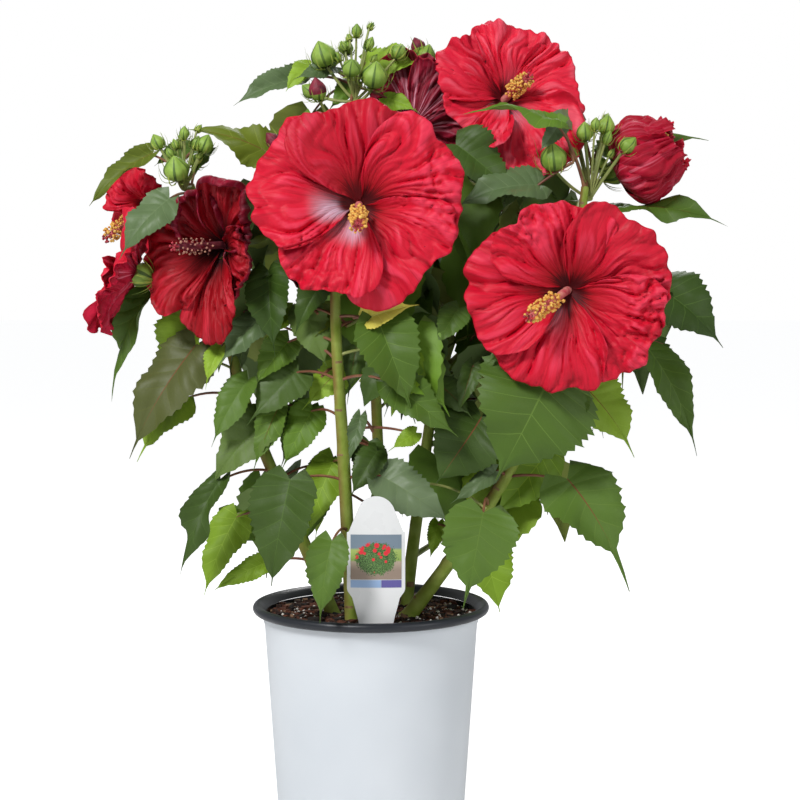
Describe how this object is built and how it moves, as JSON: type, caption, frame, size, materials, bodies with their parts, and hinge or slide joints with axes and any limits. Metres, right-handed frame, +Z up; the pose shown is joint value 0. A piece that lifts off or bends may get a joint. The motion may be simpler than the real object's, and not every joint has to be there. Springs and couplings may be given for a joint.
{
  "type": "potted hibiscus shrub",
  "caption": "Flowering rose-mallow shrub with broad red blooms and drooping toothed leaves, growing in a white nursery pot with a black rolled rim.",
  "frame": {"origin": "centre of the pot's flat underside, on the surface that the pot stands on", "axes": "+Z up the pot's axis; -Y is the front of the plant, with the label and the two largest blooms; +X is to the right seen from the front"},
  "size_m": [0.6018, 0.4013, 0.7809],
  "materials": {
    "pot_white": "satin",
    "rim_black": "satin",
    "potting_mix": "matte",
    "label_plastic": "satin",
    "cane_bark": "matte",
    "petal_red": "matte",
    "petal_faded": "matte",
    "bud_green": "matte",
    "leaf_green": "matte",
    "leaf_lime": "matte"
  },
  "bodies": {
    "root": {"pot_wall": "pot_white", "pot_rim": "rim_black", "soil": "potting_mix", "plant_label": "label_plastic", "cane_front": "cane_bark", "cane_centre": "cane_bark", "cane_top": "cane_bark", "cane_right": "cane_bark", "cane_left": "cane_bark", "bough_back_left": "cane_bark", "bough_back_right": "cane_bark", "bloom_front": "petal_red", "bloom_right": "petal_red", "bloom_top": "petal_red", "bloom_left_wilting": "petal_faded", "bloom_far_left": "petal_red", "bloom_left_rear": "petal_red", "bloom_behind_front": "petal_faded", "bloom_half_open": "petal_red", "bloom_back_left": "petal_red", "bloom_back_right": "petal_red", "buds_centre": "bud_green", "buds_left": "bud_green", "buds_right": "bud_green", "leaves_over_rim": "leaf_green", "leaves_low_front_right": "leaf_green", "leaves_right_big": "leaf_green", "leaves_centre_big": "leaf_green", "leaves_centre_right": "leaf_green", "leaves_centre_low": "leaf_green", "leaves_left_shoulder": "leaf_green", "leaves_left_middle": "leaf_green", "leaves_low_left_big": "leaf_green", "leaves_low_left_middle": "leaf_green", "leaves_low_left_narrow": "leaf_green", "leaves_low_left_lime": "leaf_lime", "leaves_low_right_lime": "leaf_lime", "leaves_low_right_single": "leaf_green", "leaves_right_lime": "leaf_lime", "leaves_right_twisted": "leaf_green", "leaves_right_dark": "leaf_green", "leaves_far_right_tip": "leaf_green", "leaves_right_high_tip": "leaf_green", "leaves_upper_right": "leaf_green", "leaves_top_centre": "leaf_lime", "leaves_top_left_grey": "leaf_green", "leaves_top_left_narrow": "leaf_lime", "leaves_far_left_olive": "leaf_green", "leaves_left_blue": "leaf_green", "leaves_left_drip": "leaf_green", "leaves_far_left_low": "leaf_green", "leaves_back_top": "leaf_green", "leaves_back_top_right": "leaf_green", "leaves_back_upper_left": "leaf_green", "leaves_back_upper_right": "leaf_green", "leaves_back_left": "leaf_green", "leaves_back_middle": "leaf_green", "leaves_back_right": "leaf_green", "leaves_back_low_left": "leaf_green", "leaves_back_low_right": "leaf_green"}
  },
  "joints": []
}
